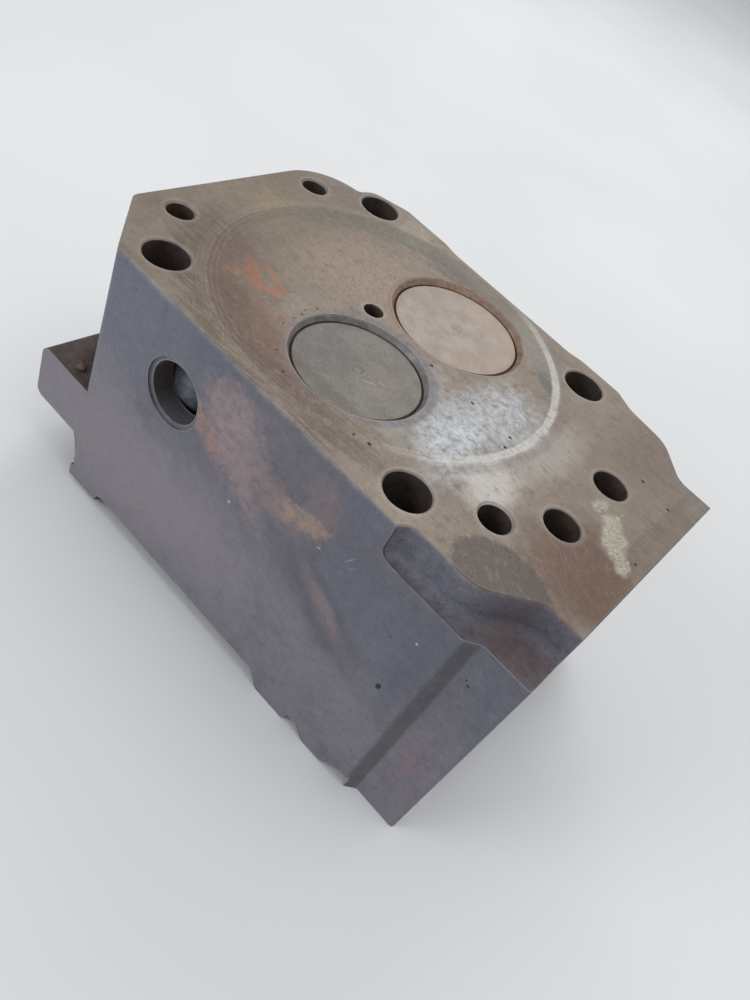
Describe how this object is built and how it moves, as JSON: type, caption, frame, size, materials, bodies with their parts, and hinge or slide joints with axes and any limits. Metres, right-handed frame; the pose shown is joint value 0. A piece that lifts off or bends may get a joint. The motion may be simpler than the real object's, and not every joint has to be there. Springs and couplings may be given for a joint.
{
  "type": "cylinder head",
  "caption": "Individual diesel engine cylinder head with fire deck, intake and exhaust valves, seats, guides, springs, injector sleeve and rocker chamber.",
  "frame": {"origin": "cylinder axis on the fire deck", "axes": "+Z out of the fire deck, +X towards the pushrod and intake end, -X towards the exhaust end; the head lies on its cover side"},
  "size_m": [0.2163, 0.1406, 0.1144],
  "materials": {
    "head_iron": "machined deck, cast sides with light rust",
    "seat_steel": "ground, heat tinted",
    "exhaust_valve_steel": "matt, burnt face",
    "intake_valve_steel": "matt, tinted face",
    "guide_iron": "machined",
    "seal_rubber": "matt",
    "spring_steel": "oiled shot peened wire",
    "retainer_steel": "turned, phosphated",
    "collet_steel": "ground",
    "sleeve_copper": "turned, tarnished",
    "plug_steel": "pressed, zinc plated, dull"
  },
  "bodies": {
    "head": {"head_casting": "head_iron", "exhaust_seat_insert": "seat_steel", "intake_seat_insert": "seat_steel", "exhaust_valve_guide": "guide_iron", "intake_valve_guide": "guide_iron", "exhaust_stem_seal": "seal_rubber", "intake_stem_seal": "seal_rubber", "exhaust_garter_spring": "spring_steel", "intake_garter_spring": "spring_steel", "exhaust_spring_seat": "retainer_steel", "intake_spring_seat": "retainer_steel", "exhaust_outer_spring": "spring_steel", "intake_outer_spring": "spring_steel", "exhaust_inner_spring": "spring_steel", "intake_inner_spring": "spring_steel", "injector_sleeve": "sleeve_copper", "sleeve_seal_ring": "seal_rubber", "back_core_plug": "plug_steel", "end_core_plug": "plug_steel", "floor_core_plugs": "plug_steel"},
    "exhaust_valve_group": {"exhaust_valve": "exhaust_valve_steel", "exhaust_spring_retainer": "retainer_steel", "exhaust_collets": "collet_steel"},
    "intake_valve_group": {"intake_valve": "intake_valve_steel", "intake_spring_retainer": "retainer_steel", "intake_collets": "collet_steel"}
  },
  "joints": [
    {"name": "exhaust_valve_lift", "type": "slide", "parent": "head", "child": "exhaust_valve_group", "axis": [0, 0, 1], "range_m": [0, 0.0115], "stiffness_N_per_m": 45000, "springref_m": -0.012, "deforming": ["exhaust_outer_spring", "exhaust_inner_spring"]},
    {"name": "intake_valve_lift", "type": "slide", "parent": "head", "child": "intake_valve_group", "axis": [0, 0, 1], "range_m": [0, 0.0115], "stiffness_N_per_m": 45000, "springref_m": -0.012, "deforming": ["intake_outer_spring", "intake_inner_spring"]}
  ]
}
